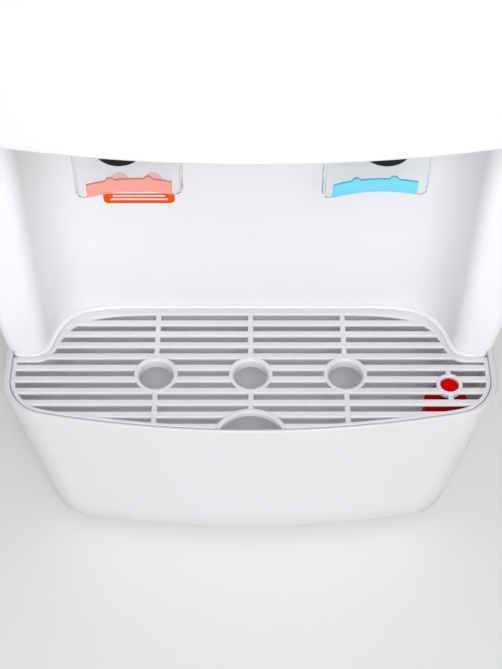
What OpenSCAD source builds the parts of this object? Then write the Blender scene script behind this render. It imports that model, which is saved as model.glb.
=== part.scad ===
// Countertop water dispenser with a bow front, a lift-out drip tray and two push-lever taps.
// Frame: +Z up, +X to the user's right, the front faces -Y, origin on the counter at the box centre.

/* [Body] */
// Overall height, without a bottle
body_h = 500; // [495:1:505]
// Overall depth, from the bow's front to the drain cap
body_d = 300; // [298:1:304]
// Width across the rim of the drip tray
rim_w = 300; // [298:1:304]
// Height of the rim above the counter
rim_z = 130; // [128:1:132]
// Lean of the sides at the rim, run over rise
side_slope = 0.155; // [0.14:0.005:0.155]
// Height over which the sides flare outwards
flare_h = 180; // [170:5:200]
// Radius of the bowed front in plan
bow_r = 640; // [620:10:680]
// Radius of the front corners in plan
corner_r = 28; // [25:1:30]

/* [Alcove] */
// Height of the dispensing space above the rim
alcove_h = 215; // [213:1:217]
// Depth from the bow's front to the cheeks
shoulder_d = 58.7; // [58:0.1:59.4]
// Depth from the bow's front to the back wall
alcove_d = 97.2; // [96.6:0.1:98]
// Rounding of the cheeks' inner edges
cheek_r = 10.4; // [9.5:0.1:11]

/* [Drip tray] */
// Depth of the drip tray
tray_h = 36; // [34:1:36]
// Thickness of the grille's frame
grille_t = 4; // [3.5:0.1:4.5]
// Pitch of the slots, front to back
slot_pitch = 8.73; // [8.6:0.01:8.8]
// Width of one slot
slot_w = 4.5; // [4.3:0.1:4.7]
// Distance between the cup rings
cup_pitch = 57.5; // [56:0.5:58]
// Outer radius of a cup ring
cup_r = 13.2; // [13:0.1:14]
// Hole radius of a cup ring
cup_hole_r = 10.3; // [10:0.1:10.8]
// Radius of the finger notch
notch_r = 20.5; // [20:0.5:21]

/* [Taps] */
// Distance between the two taps
tap_pitch = 129; // [128:1:132]
// Outer radius of a nozzle
nozzle_r = 12.5; // [12:0.1:13]
// Bore radius of a nozzle
nozzle_bore_r = 5; // [4.5:0.1:5.5]
// Width of a lever
lever_w = 56; // [55:1:58]
// Radius of the lever's curve, at its front face
lever_r = 74; // [72:1:80]
// Angle each lever's plate stands turned from square, seen from above
lever_turn = 3.2; // [0:0.2:3.4]

/* [Tanks] */
// Radius of the cold tank
cold_r = 70; // [68:1:70]
// Height of the cold tank
cold_h = 94; // [90:1:95]
// Radius of the hot tank
hot_r = 45; // [42:1:45]
// Height of the hot tank
hot_h = 115; // [105:1:120]

/* [Hidden] */
$fn = 64;

// Places of the shell, counted from the counter and the box centre
front_y = -body_d / 2;
rear_y = body_d / 2 - 8;
foot_h = 8;
roof_z = rim_z + alcove_h;
lid_z = body_h - 12;
lid_top = body_h - 2;
head_y = front_y + 1;
shoulder_y = front_y + shoulder_d;
alcove_y = front_y + alcove_d;
seam_y = shoulder_y + 14;
row_y = front_y + 42.7;
front_slope = 0.06;

// Shell walls and edges
wall = 2.8;
rim_t = 2;
rim_side = 2.2;
gap = 0.5;
fit = 0.3;
plate_t = 3;
rear_r = 12;
side_r = 8;
rear_t = 2.5;
lip_w = 6;
bow_steps = 10;
corner_steps = 8;
panel_steps = 10;
cheek_x = rim_w / 2 - 15.9;
cove_lean = 13.5;
cove_reach = 27.8;
cove_flat = rim_w / 2 - 78;
cove_pull = rim_w / 2 - 47;

// Drip tray and grille
tray_in = rim_t + gap;
cove_in = 3.1;
tray_t = 2;
tray_top = rim_z - grille_t;
tray_z = tray_top - tray_h;
ledge_z = tray_z - gap;
ledge_w = rim_t + 8;
border = 4.6;
opening_side = 0.7;
opening_back = 7.8;
opening_step = 6.5;
bar_t = 2.4;
rib_w = 3.3;
cup_deep = 6.6;
slot_n = 10;
first_slot_y = row_y + 42.3;
notch_y = front_y - 6.4;
notch_band = 2.8;
float_x = 120;
float_y = front_y + 35;
float_r = 13.5;
disc_r = 5.2;
ring_r = 7.9;
ring_hole_r = 5.6;
guide_r = 2.5;

// Taps
tap_y = front_y + 29.9;
nozzle_z = rim_z + 198.5;
deck_z = roof_z + plate_t;
gasket_t = 1.5;
flange_z = deck_z + gasket_t;
flange_r = 15;
shank_r = 9;
chamber_r = 12;
chamber_bore_r = 8;
chamber_top = flange_z + 28;
bonnet_t = 6;
inlet_z = flange_z + 16;
inlet_r = 5;
inlet_l = 26;
stem_r = 2.4;
run = 0.06;
arm = 13.3;
pivot_y = tap_y - arm;
pivot_z = chamber_top + 9;
pin_r = 1.5;
hub_r = 4;
peg_r = 2.2;
ear_x = 8.5;
leg_x = 15;
lever_t = 3;
lever_y = front_y + 55.9;
lever_z = rim_z + 143;
lever_top = deck_z + 2;
strip_z = rim_z + 144.5;
strip_h = 9;
strip_w = 44.8;
strip_t = 1.6;
bump_x = 10;
bump_r = 2.4;

// Water and cooling
tank_y = 14;
tank_z = deck_z + 14;
foam_r = cold_r + 12;
seat_r = 104;
probe_r = 12;
block_w = 40;
sink_w = 92;
fan_z = tank_z + 43;
fan_t = 18;
fan_y = rear_y - wall - fan_t - 0.2;
sink_y = fan_y - 18.5;
fan_bore_r = 43;
hub_bore_r = 2;
fan_hub_r = 18;
screw_x = 41;
hot_x = -55;
hot_y = 50;
hot_z = 30;
jacket_r = hot_r + 9;
hose_r = 6.8;
hose_bore_r = 5.5;
hose_sides = 10;
drain_z = 42;
drain_r = 8;

// Rear panel and electrics
switch_x = -95;
switch_z = fan_z + 20;
switch_pitch = 20.8;
rocker_tilt = 8;
power_x = 70;
power_z = rim_z + 35;
board_x = 108;
lens_z = 455;
lens_pitch = 22;
frame_x = 118;
frame_t = 2;

// Hose routes, in the direction of the flow
cold_route = [
    [50, -56.5, 371], [50, -61.5, 371], [50, -67, 371], [53, -73.5, 369.5], [59.5, -80, 367],
    [tap_x() - 0.5, -87, 365.8], for (y = [-92:-5.5:-103]) [tap_x(), y, inlet_z]
];
hot_route = [
    [hot_x, 20, 148], [hot_x, 20, 155], [hot_x, 20, 162], [hot_x, 19, 169], [-58, 4, 205],
    [-66, -24, 265], [-70, -37, 318], [-70, -41, 347], [-69.5, -52, 361], [-66, -70, 366],
    [-tap_x() - 0.5, -86, 365.6], for (y = [-92:-5.5:-103]) [-tap_x(), y, inlet_z]
];
feed_route = [
    [22, 40, 346], [22, 40, 340], [22, 40, 334], [22, 39.7, 327], [22, 37, 310], [22, 22, 250],
    [12, -10, 150], [-18, -34, 85], [-46, -39, 52], [hot_x + 0.5, -33, 45.6],
    for (y = [-27:5:-12]) [hot_x, y, 45]
];
drain_route = [for (y = [107:6.5:133]) [hot_x, y, drain_z]];

// Plan curves. Each runs along +X at the front, so the material lies on its left.
function dir(a) = [cos(a), sin(a)];
function unit(v) = v / norm(v);
function arc(c, r, a0, a1, n, first = 0) = [for (i = [first:n]) c + r * dir(a0 + (a1 - a0) * i / n)];
function bezier(a, b, c, d, n) = [
    for (i = [0:n])
        let (t = i / n, s = 1 - t)
        s * s * s * a + 3 * s * s * t * b + 3 * s * t * t * c + t * t * t * d
];
function reversed(p) = [for (i = [len(p) - 1:-1:0]) p[i]];
function mirrored(p) = [for (q = reversed(p)) if (q.x > 0.01) [-q.x, q.y]];
function both(p) = concat(mirrored(p), p);
function closed(p) = concat(p, mirrored(p));
function aside(a, b, c) =
    let (u = unit(b - a), v = unit(c - b), m = unit(u + v), k = 1 / (m * v))
    k * [-m.y, m.x];
function moved(p, d) = [
    for (i = [0:len(p) - 1])
        let (a = i > 0 ? p[i - 1] : 2 * p[0] - p[1])
        let (c = i < len(p) - 1 ? p[i + 1] : 2 * p[i] - p[i - 1])
        p[i] + d * aside(a, p[i], c)
];
function band(p, t0, t1) = concat(both(moved(p, t0)), reversed(both(moved(p, t1))));
function ring(p, z) = [for (q = p) [q.x, q.y, z]];
function levels(z0, z1, n) = [for (i = [0:n]) z0 + (z1 - z0) * i / n];

// The shell's width and its plan outlines at height z, inset by t
function flare(u) = u - u * u / (2 * flare_h);
function half_w(z) = rim_w / 2 + side_slope * (z < rim_z ? z - rim_z : flare(min(z - rim_z, flare_h)));
function bow_y(z) = front_y + front_slope * max(rim_z - z, 0);
function bow(w, y, t) =
    let (c = [0, y + bow_r])
    let (k = [w - corner_r, c.y - sqrt(pow(bow_r - corner_r, 2) - pow(w - corner_r, 2))])
    let (a = atan2(k.y - c.y, k.x))
    concat(arc(c, bow_r - t, -90, a, bow_steps), arc(k, corner_r - t, a, 0, corner_steps, 1));
function rear_corner(w, t) = arc([w - rear_r, rear_y - rear_r], rear_r - t, 0, 90, corner_steps);
function outline(z, t) = closed(concat(bow(half_w(z), bow_y(z), t), rear_corner(half_w(z), t)));
function inside(z, t) =
    let (w = half_w(z) - rim_side)
    closed(concat(bow(w, bow_y(z), t), rear_corner(w, t)));
function cove() =
    let (f = [cheek_x, shoulder_y + cheek_r])
    let (p = f + cheek_r * dir(180 + cove_lean))
    let (q = p + cove_reach * dir(90 + cove_lean))
    concat(
        [[0, alcove_y]],
        bezier([cove_flat, alcove_y], [cove_pull, alcove_y], q, p, 12),
        arc(f, cheek_r, 180 + cove_lean, 270, 6, 1));
function tray_half(z, t, e) =
    let (w = half_w(z) - rim_side, y = shoulder_y - e, r = 0.9)
    concat(bow(w, bow_y(z), t), arc([w - t - r, y - r], r, 0, 90, 3), reversed(moved(cove(), -e)));
function tray_outline(z, t, e) = closed(tray_half(z, t, e));
function opening() =
    let (w = rim_w / 2, y = shoulder_y - opening_step, back = alcove_y - opening_back)
    let (corner = [w - 30.5, shoulder_y + 3.4])
    closed(concat(
        bow(w - rim_side - opening_side, front_y, border),
        [[w - border - 2.9, y]],
        reversed(bezier(corner, corner + [2.1, -5.6], [w - 25, y], [w - 19, y], 6)),
        reversed(bezier([w - 90, back], [w - 40, back], corner + [-6.5, 16.8], corner, 9)),
        [[0, back]]));
function panel_half(z, t, r) =
    let (w = half_w(z) - t)
    concat(cove(), arc([w - r, shoulder_y + r], r, 270, 360, 6), [[w, seam_y]]);
function head_half(z, t) = concat(bow(half_w(z), head_y, t), [[half_w(z) - t, seam_y]]);
function side_path(z) =
    let (w = half_w(z))
    concat([[w, seam_y + fit]], rear_corner(w, 0), [[w - rear_r - lip_w, rear_y]]);

// Solids through a list of rings, closed by caps, or joined end to end
function skin(n, last) = [
    for (k = [0:last - 1], i = [0:n - 1])
        let (a = k * n + i, b = k * n + (i + 1) % n)
        each [[a, a + n, b + n], [a, b + n, b]]
];
module loft(rings) {
    n = len(rings[0]);
    last = len(rings) - 1;
    caps = [[for (i = [0:n - 1]) i], [for (i = [n - 1:-1:0]) last * n + i]];
    polyhedron([for (r = rings) each r], concat(caps, skin(n, last)));
}
module loft_band(rings) {
    n = len(rings[0]);
    last = len(rings) - 1;
    foot = [for (i = [0:n / 2 - 2]) each [[i, i + 1, n - 2 - i], [i, n - 2 - i, n - 1 - i]]];
    head = [for (f = foot) last * n * [1, 1, 1] + [f.z, f.y, f.x]];
    polyhedron([for (r = rings) each r], concat(foot, head, skin(n, last)));
}
module loft_loop(rings) {
    n = len(rings[0]);
    total = n * len(rings);
    faces = skin(n, len(rings));
    polyhedron([for (r = rings) each r], [for (f = faces) [for (v = f) v % total]]);
}

// Swept tubes: the route is smoothed, and each ring's first axis stays close to X
function smooth(p, n) = concat(
    [for (i = [0:len(p) - 2], j = [0:n - 1])
        let (a = p[max(i - 1, 0)], b = p[i], c = p[i + 1], d = p[min(i + 2, len(p) - 1)], t = j / n)
        0.5 * (2 * b + t * (c - a) + t * t * (2 * a - 5 * b + 4 * c - d)
            + t * t * t * (3 * b - 3 * c + d - a))],
    [p[len(p) - 1]]);
function tube_ring(p, i, r, sides) =
    let (t = unit(p[min(i + 1, len(p) - 1)] - p[max(i - 1, 0)]))
    let (u = unit([1, 0, 0] - t.x * t), v = cross(t, u))
    [for (k = [0:sides - 1]) p[i] + r * (cos(360 * k / sides) * u + sin(360 * k / sides) * v)];
module hose(route) {
    p = smooth(route, 4);
    outer = [for (i = [0:len(p) - 1]) tube_ring(p, i, hose_r, hose_sides)];
    inner = [for (i = [len(p) - 1:-1:0]) tube_ring(p, i, hose_bore_r, hose_sides)];
    color("whitesmoke") loft_loop(concat(outer, inner));
}

// Small helpers: a cylinder along Y or X, a profile in YZ, a profile in XZ and a screw
module rod_y(p, r, l) translate(p) rotate([-90, 0, 0]) cylinder(r = r, h = l);
module rod_x(p, r, l) translate(p) rotate([0, 90, 0]) cylinder(r = r, h = l);
module slab_x(x, t) translate([x, 0, 0]) rotate([90, 0, 90]) linear_extrude(t) children();
module slab_y(y, t) translate([0, y + t, 0]) rotate([90, 0, 0]) linear_extrude(t) children();
module box(p, s) translate(p - [s.x / 2, s.y / 2, 0]) cube(s);
module sides() for (s = [-1, 1]) mirror([s < 0 ? 1 : 0, 0, 0]) children();
module rect_z(w, h, r) {
    translate([-w / 2 + r, 0]) square([w - 2 * r, h]);
    translate([-w / 2, r]) square([w, h - r]);
    for (x = [-1, 1]) translate([x * (w / 2 - r), r]) circle(r);
}
function silhouette(z0, z1, inset) =
    let (p = [for (z = levels(z0, z1, panel_steps)) [half_w(z) - inset, z]])
    concat(p, [for (q = reversed(p)) [-q.x, q.y]]);

// Shell
module base_housing() {
    outer = [[foot_h, 1.5], [foot_h + 1.5, 0], [rim_z - 1.4, 0], [rim_z - 0.4, 0.3], [rim_z, 0.9]];
    inner = [
        [rim_z, rim_t - 0.4], [rim_z - 0.4, rim_t], [ledge_z, rim_t], [ledge_z, ledge_w],
        [ledge_z - plate_t, ledge_w], [ledge_z - plate_t, rim_t], [foot_h, rim_t]
    ];
    color("white") difference() {
        loft_loop(concat(
            [for (s = outer) ring(outline(s[0], s[1]), s[0])],
            [for (s = inner) ring(inside(s[0], s[1]), s[0])]));
        rod_y([hot_x, rear_y - 10, drain_z], drain_r + fit, 20);
    }
}
module base_plate() {
    color("lightgray") difference() {
        translate([0, 0, foot_h]) linear_extrude(plate_t) polygon(inside(foot_h, rim_t + fit));
        for (p = foot_places()) translate(p) cylinder(r = 2, h = 20);
        for (x = [30:8:94]) box([x, 40, 0], [4, 60, 20]);
    }
}
function foot_places() = [for (x = [-100, 100], y = [-115, 110]) [x, y, 0]];
module rubber_feet() {
    color("dimgray") for (p = foot_places()) translate(p) {
        cylinder(r1 = 10, r2 = 11, h = foot_h);
        cylinder(r = 1.9, h = foot_h + plate_t);
        translate([0, 0, foot_h + plate_t]) cylinder(r = 4, h = 2);
    }
}
module dispensing_panel() {
    lip = cove_in - gap;
    inset = rim_side + rim_t + fit + lip;
    low_r = 2.2;
    low = [for (z = [ledge_z, rim_z]) ring(band(panel_half(z, inset, low_r), -lip, low_r - 0.2), z)];
    rows = levels(rim_z + 0.2, roof_z, panel_steps);
    high = [for (z = rows) ring(band(panel_half(z, 0, side_r), 0, wall), z)];
    color("white") loft_band(concat(low, high));
}
module tap_deck() {
    w = half_w(roof_z) - wall - fit;
    edge = concat(bow(half_w(roof_z), head_y, wall + fit), [[w, alcove_y + wall], [0, alcove_y + wall]]);
    slot = [lever_w + 4, 21];
    color("white") difference() {
        translate([0, 0, roof_z]) linear_extrude(plate_t) polygon(closed(edge));
        for (x = [-tap_x(), tap_x()]) {
            translate([x, tap_y, 0]) cylinder(r = shank_r + 0.2, h = body_h);
            box([x, lever_y + 1.5, 0], [slot.x, slot.y, body_h]);
        }
    }
}
function tap_x() = tap_pitch / 2;
module head_cover() {
    edge = [[0, 1.6], [0.6, 0.5], [1.8, 0]];
    low = [for (e = edge) [roof_z + e[0], e[1]]];
    rows = concat(low, [for (z = [roof_z + 50, roof_z + 95, lid_z]) [z, 0]]);
    color("white") difference() {
        loft_band([for (s = rows)
            ring(concat(both(head_half(s[0], s[1])), reversed(both(head_half(s[0], wall)))), s[0])]);
        for (x = [-1:1]) rod_y([x * lens_pitch, front_y - 5, lens_z], 3.1, 20);
    }
}
module side_panel() {
    color("white")
        loft_band([for (z = levels(rim_z, lid_z, 2 * panel_steps))
            let (p = side_path(z)) ring(concat(p, reversed(moved(p, wall))), z)]);
}
module right_side_panel() side_panel();
module left_side_panel() mirror([1, 0, 0]) side_panel();
module rear_panel() {
    color("white") difference() {
        slab_y(rear_y - rear_t, rear_t) polygon(silhouette(rim_z, lid_z, rear_r + lip_w + fit));
        for (x = [-7:7]) if (abs(x) != 7) box([x * 6, rear_y, fan_z - fan_slot(x)], [3, 20, 2 * fan_slot(x)]);
        for (z = [0:5]) box([-70, rear_y, rim_z + 20 + 8 * z], [90, 20, 3.5]);
        box([power_x, rear_y, power_z - 10.5], [29, 20, 21]);
        box([switch_x, rear_y, switch_z - 11], [45, 20, 22]);
        for (p = screw_places()) rod_y([p.x, rear_y - 10, p.y], 1.6, 20);
    }
}
function fan_slot(x) = sqrt(pow(fan_bore_r, 2) - pow(x * 6, 2)) - 3;
function screw_places() = [for (x = [-120, 120], z = [rim_z + 10, lid_z - 14]) [x, z]];
module top_cover() {
    inner = [[lid_top - wall, 9], [lid_top - 7, 5], [lid_z + 2, wall], [lid_z, wall]];
    outer = [[lid_z, 0], [lid_top - 6, 0], [lid_top - 3, 1], [lid_top - 0.8, 3.2], [lid_top, 6]];
    color("white") difference() {
        loft([for (s = concat(inner, outer)) ring(lid_outline(s[1]), s[0])]);
        translate([0, tank_y, 0]) cylinder(r = seat_r, h = body_h + 1);
    }
}
function lid_outline(t) = closed(concat(bow(half_w(lid_z), head_y, t), rear_corner(half_w(lid_z), t)));
module case_screws() {
    color("silver") for (p = screw_places()) {
        rod_y([p.x, rear_y - 9, p.y], 1.55, 9);
        rod_y([p.x, rear_y, p.y], 3.2, 1.4);
    }
}
module chassis_frame() {
    shelf = [2 * frame_x, 160, frame_t];
    color("silver") difference() {
        union() {
            box([0, 52, deck_z], shelf);
            sides() translate([frame_x - frame_t, 10, foot_h + plate_t]) cube([frame_t, 115, deck_z - 11]);
            sides() translate([frame_x - 14, 10, foot_h + plate_t]) cube([13, 115, frame_t]);
        }
        translate([22, 40, 0]) cylinder(r = 9, h = body_h);
        sides() for (z = [70:30:250]) rod_x([0, 100, z], 6, body_h);
    }
}

// Drip tray, grille and float
module drip_tray() {
    outer = [[tray_z, 1.5], [tray_z + 1.5, 0], [tray_top, 0]];
    inner = [[tray_top, tray_t], [tray_z + tray_t + 2, tray_t], [tray_z + tray_t, tray_t + 2]];
    color("gainsboro") union() {
        loft([for (s = concat(outer, inner))
            ring(tray_outline(s[0], tray_in + s[1], cove_in + s[1]), s[0])]);
        translate([float_x, float_y, tray_z + 1]) cylinder(r = guide_r, h = 14);
    }
}
module grille_plan(inset) {
    polygon(tray_outline(rim_z - grille_t / 2, tray_in + inset, cove_in + inset));
}
module grille_bars() {
    for (k = [0:slot_n - 1])
        translate([-rim_w / 2, first_slot_y - slot_pitch * k - (slot_pitch - slot_w)])
            square([rim_w, slot_pitch - slot_w]);
    for (x = [-1:1]) translate([x * cup_pitch - rib_w / 2, front_y]) square([rib_w, alcove_d]);
    translate([float_x - rib_w / 2, float_y - 10]) square([rib_w, 20]);
}
module drip_grille() {
    color("white") difference() {
        union() {
            translate([0, 0, tray_top]) linear_extrude(grille_t) difference() {
                grille_plan(0);
                polygon(opening());
            }
            translate([0, 0, rim_z - bar_t]) linear_extrude(bar_t) intersection() {
                grille_plan(1);
                grille_bars();
            }
            for (x = [-1:1])
                translate([x * cup_pitch, row_y, rim_z - cup_deep]) cylinder(r = cup_r, h = cup_deep);
            translate([float_x, float_y, tray_top]) cylinder(r = ring_r, h = grille_t);
            translate([0, 0, tray_top]) linear_extrude(grille_t) intersection() {
                translate([0, notch_y]) circle(notch_r + notch_band);
                grille_plan(0);
            }
        }
        for (x = [-1:1]) translate([x * cup_pitch, row_y, 0]) cylinder(r = cup_hole_r, h = body_h);
        translate([float_x, float_y, 0]) cylinder(r = ring_hole_r, h = body_h);
        translate([0, notch_y, 0]) cylinder(r = notch_r, h = body_h);
    }
}
module overflow_float() {
    low = tray_z + tray_t + fit;
    color("red") translate([float_x, float_y, 0]) difference() {
        union() {
            translate([0, 0, low]) cylinder(r1 = float_r - 2.5, r2 = float_r, h = 3);
            translate([0, 0, low + 3]) cylinder(r = float_r, h = 18);
            translate([0, 0, low]) cylinder(r = disc_r, h = rim_z - 1 - low);
        }
        translate([0, 0, low - 1]) cylinder(r = guide_r + fit, h = 16);
    }
}
module warning_label() {
    color("orangered") intersection() {
        translate([0, 0, rim_z + 92]) linear_extrude(52) polygon(band(cove(), -0.35, 0));
        slab_y(alcove_y - 20, 40) translate([-64.5, rim_z + 92]) rect_z(41, 52, 3);
    }
}

// Taps: each module draws one, and the nodes place it at the hot or the cold side
module at_hot() translate([-tap_x(), 0, 0]) children();
module at_cold() translate([tap_x(), 0, 0]) children();
module tap_body() {
    color("ivory") difference() {
        union() {
            translate([0, tap_y, flange_z]) cylinder(r = flange_r, h = plate_t);
            translate([0, tap_y, flange_z]) cylinder(r = chamber_r, h = chamber_top - flange_z);
            translate([0, tap_y, roof_z - 8]) cylinder(r = shank_r, h = flange_z - roof_z + 9);
            rod_y([0, tap_y, inlet_z], inlet_r, inlet_l);
            sides() slab_x(ear_x, 3) {
                polygon([
                    [pivot_y - 3, pivot_z], [pivot_y - 3, pivot_z - 14], [tap_y - 2, pivot_z - 24],
                    [tap_y - 2, pivot_z - 11], [pivot_y + 3, pivot_z - 8], [pivot_y + 3, pivot_z]
                ]);
                translate([pivot_y, pivot_z]) circle(3);
            }
        }
        translate([0, tap_y, flange_z + plate_t]) cylinder(r = chamber_bore_r, h = 50);
        translate([0, tap_y, 0]) cylinder(r = 4, h = flange_z + 10);
        rod_y([0, tap_y, inlet_z], 3, inlet_l + 1);
        rod_x([-20, pivot_y, pivot_z], pin_r + 0.02, 40);
    }
}
module gasket() {
    color("dimgray") translate([0, tap_y, deck_z]) difference() {
        cylinder(r = flange_r - 1, h = gasket_t);
        translate([0, 0, -1]) cylinder(r = shank_r + 0.1, h = 5);
    }
}
module nozzle() {
    h = roof_z - nozzle_z;
    color("black") translate([0, tap_y, nozzle_z]) rotate_extrude() polygon([
        [nozzle_bore_r, 4], [nozzle_bore_r + 3, 0], [nozzle_r - 0.8, 0], [nozzle_r, 0.8], [nozzle_r, h - 6],
        [nozzle_r + 1.5, h - 4.5], [nozzle_r + 1.5, h], [shank_r + 0.05, h], [shank_r + 0.05, h - 8.5],
        [nozzle_bore_r, h - 10]
    ]);
}
module bonnet() {
    color("ivory") translate([0, tap_y, chamber_top]) difference() {
        union() {
            cylinder(r = chamber_r, h = bonnet_t);
            translate([0, 0, -plate_t]) cylinder(r = chamber_bore_r - 0.05, h = plate_t + 1);
        }
        translate([0, 0, -5]) cylinder(r = stem_r + run, h = 20);
    }
}
module valve_stem() {
    seat = flange_z + plate_t + 0.1;
    color("gainsboro") translate([0, tap_y, 0]) {
        translate([0, 0, seat]) cylinder(r = 6.5, h = 4);
        translate([0, 0, seat + 1]) cylinder(r = stem_r, h = pivot_z + 8 - seat);
        translate([0, 0, pivot_z + 3]) cylinder(r = 7, h = 3);
    }
}
module valve_spring() {
    low = flange_z + plate_t + 4.8;
    high = chamber_top - plate_t - 0.7;
    turns = 5;
    n = 50;
    coil = [
        for (i = [0:n])
            let (a = 360 * turns * i / n)
            [4.8 * cos(a), 4.8 * sin(a), low + (high - low) * i / n]
    ];
    color("silver") translate([0, tap_y, 0])
        loft([for (i = [0:n]) spring_ring(coil[i], 360 * turns * i / n)]);
}
function spring_ring(c, a) = [
    for (k = [0:5]) c + 0.5 * cos(60 * k) * [cos(a), sin(a), 0] + [0, 0, 0.5 * sin(60 * k)]
];
module lever() {
    rear = lever_y + 0.9;
    color([0.85, 0.93, 0.97, 0.5]) difference() {
        union() {
            turned() intersection() {
                lever_arc(lever_r, lever_t, lever_z, lever_top - lever_z);
                slab_y(lever_y - 30, 60) translate([0, lever_z]) rect_z(lever_w, lever_top - lever_z, 5);
            }
            sides() slab_x(leg_x, 3) {
                polygon([
                    [pivot_y, pivot_z + hub_r], [rear - 2, pivot_z + hub_r], [rear, pivot_z],
                    [rear, lever_top - 15], [rear - 4, lever_top - 15], [rear - 7, lever_top - 5],
                    [rear - 7, pivot_z - 8], [rear - 11, pivot_z - hub_r], [pivot_y, pivot_z - hub_r]
                ]);
                translate([pivot_y, pivot_z]) circle(hub_r);
            }
            sides() rod_x([3.4, tap_y, pivot_z + 0.3], peg_r, leg_x - 3);
        }
        rod_x([-20, pivot_y, pivot_z], pin_r + run, 40);
    }
}
module turned() translate([0, lever_y]) rotate(lever_turn) translate([0, -lever_y]) children();
module lever_arc(r, t, z, h) {
    translate([0, lever_y - lever_r, z]) linear_extrude(h) difference() {
        circle(r + t, $fn = 128);
        circle(r, $fn = 128);
        translate([0, -2 * r]) square(4 * r, center = true);
    }
}
module lever_strip(shade) {
    color(shade) turned() intersection() {
        lever_arc(lever_r - strip_t, strip_t, strip_z, strip_h + bump_r);
        slab_y(lever_y - 30, 60) translate([0, strip_z]) {
            rect_z(strip_w, strip_h, 1.5);
            for (x = [-bump_x, bump_x]) translate([x, strip_h - 0.4]) circle(bump_r);
        }
    }
}
module lever_pin() {
    color("silver") rod_x([-leg_x - 4, pivot_y, pivot_z], pin_r, 2 * leg_x + 8);
}
module hot_tap_body() at_hot() tap_body();
module cold_tap_body() at_cold() tap_body();
module hot_gasket() at_hot() gasket();
module cold_gasket() at_cold() gasket();
module hot_nozzle() at_hot() nozzle();
module cold_nozzle() at_cold() nozzle();
module hot_bonnet() at_hot() bonnet();
module cold_bonnet() at_cold() bonnet();
module hot_valve_stem() at_hot() valve_stem();
module cold_valve_stem() at_cold() valve_stem();
module hot_valve_spring() at_hot() valve_spring();
module cold_valve_spring() at_cold() valve_spring();
module hot_lever() at_hot() lever();
module cold_lever() at_cold() lever();
module hot_lever_strip() at_hot() lever_strip("salmon");
module cold_lever_strip() at_cold() lever_strip("skyblue");
module hot_lever_pin() at_hot() lever_pin();
module cold_lever_pin() at_cold() lever_pin();

// Indicators
module indicator_lenses() {
    color("lightgreen") for (x = [-1:1]) rod_y([x * lens_pitch, front_y + 2, lens_z], 3, 4);
}
module indicator_board() {
    color("green") {
        translate([-36, front_y + 12, lens_z - 12]) cube([72, 1.6, 24]);
        for (x = [-1:1]) rod_y([x * lens_pitch, front_y + 6.2, lens_z], 2.4, 6);
    }
}

// Water
module bottle_seat() {
    r = seat_r;
    color("white") translate([0, tank_y, 0]) rotate_extrude() polygon([
        [r + 8, lid_top], [r + 8, lid_top + 1.2], [r + 7, body_h], [r - 5, body_h], [r - 20, body_h - 22],
        [70, body_h - 34], [40, body_h - 38], [probe_r + 5, body_h - 38], [probe_r + 5, body_h - 32],
        [probe_r + 0.1, body_h - 32], [probe_r + 0.1, body_h - 41], [40, body_h - 41], [71, body_h - 37],
        [r - 17.5, body_h - 24.5], [r - 3, lid_top - 4], [r - 0.5, lid_top - 4], [r - 0.5, lid_top]
    ]);
}
module bottle_probe() {
    color("gainsboro") translate([0, tank_y, 0]) difference() {
        rotate_extrude() polygon([
            [8, body_h - 80], [probe_r, body_h - 80], [probe_r, body_h - 32], [probe_r + 3, body_h - 32],
            [probe_r + 3, body_h - 30], [probe_r - 1, body_h - 30], [probe_r - 3, body_h - 10],
            [6, body_h - 3], [4, body_h - 3], [8, body_h - 12]
        ]);
        for (a = [0, 90]) rotate(a) translate([-20, -2.5, body_h - 26]) cube([40, 5, 10]);
    }
}
module cold_tank() {
    top = tank_z + cold_h;
    color("silver") translate([0, tank_y, 0]) {
        rotate_extrude() polygon([
            [0, tank_z], [cold_r, tank_z], [cold_r, top - 1], [cold_r + 5, top - 1], [cold_r + 5, top],
            [cold_r - 1, top], [cold_r - 1, tank_z + 1], [0, tank_z + 1]
        ]);
        difference() {
            rod_y([50, -cold_r - 10, tank_z + 4 + inlet_r], inlet_r, 38);
            cylinder(r = cold_r - 0.5, h = body_h);
        }
        translate([22, 40 - tank_y, tank_z - 26]) cylinder(r = inlet_r, h = 26.5);
    }
}
module tank_insulation() {
    color("white") translate([0, tank_y, 0]) difference() {
        rotate_extrude() polygon([
            [0, deck_z + frame_t], [foam_r, deck_z + frame_t], [foam_r, tank_z + cold_h - 1.2],
            [cold_r + 0.1, tank_z + cold_h - 1.2], [cold_r + 0.1, tank_z - 0.1], [0, tank_z - 0.1]
        ]);
        rod_y([50, -cold_r - 30, tank_z + 4 + inlet_r], inlet_r + 0.2, 60);
        translate([22, 40 - tank_y, 0]) cylinder(r = inlet_r + 0.2, h = tank_z + 5);
        box([0, cold_r, fan_z - block_w / 2 - fit], [block_w + 2 * fit, 60, block_w + 2 * fit]);
    }
}
module cold_block() {
    color("silver") difference() {
        box([0, (tank_y + 60 + sink_y - 4) / 2, fan_z - block_w / 2],
            [block_w, sink_y - 64 - tank_y, block_w]);
        translate([0, tank_y, 0]) cylinder(r = cold_r, h = body_h);
    }
}
module peltier_module() {
    color("white") box([0, sink_y - 2, fan_z - block_w / 2], [block_w, 4, block_w]);
}
module heat_sink() {
    color("silver") {
        box([0, sink_y + 2.5, fan_z - sink_w / 2], [sink_w, 5, sink_w]);
        for (i = [-6:6]) box([i * 7, sink_y + 11, fan_z - sink_w / 2], [1.6, 14, sink_w]);
    }
}
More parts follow.
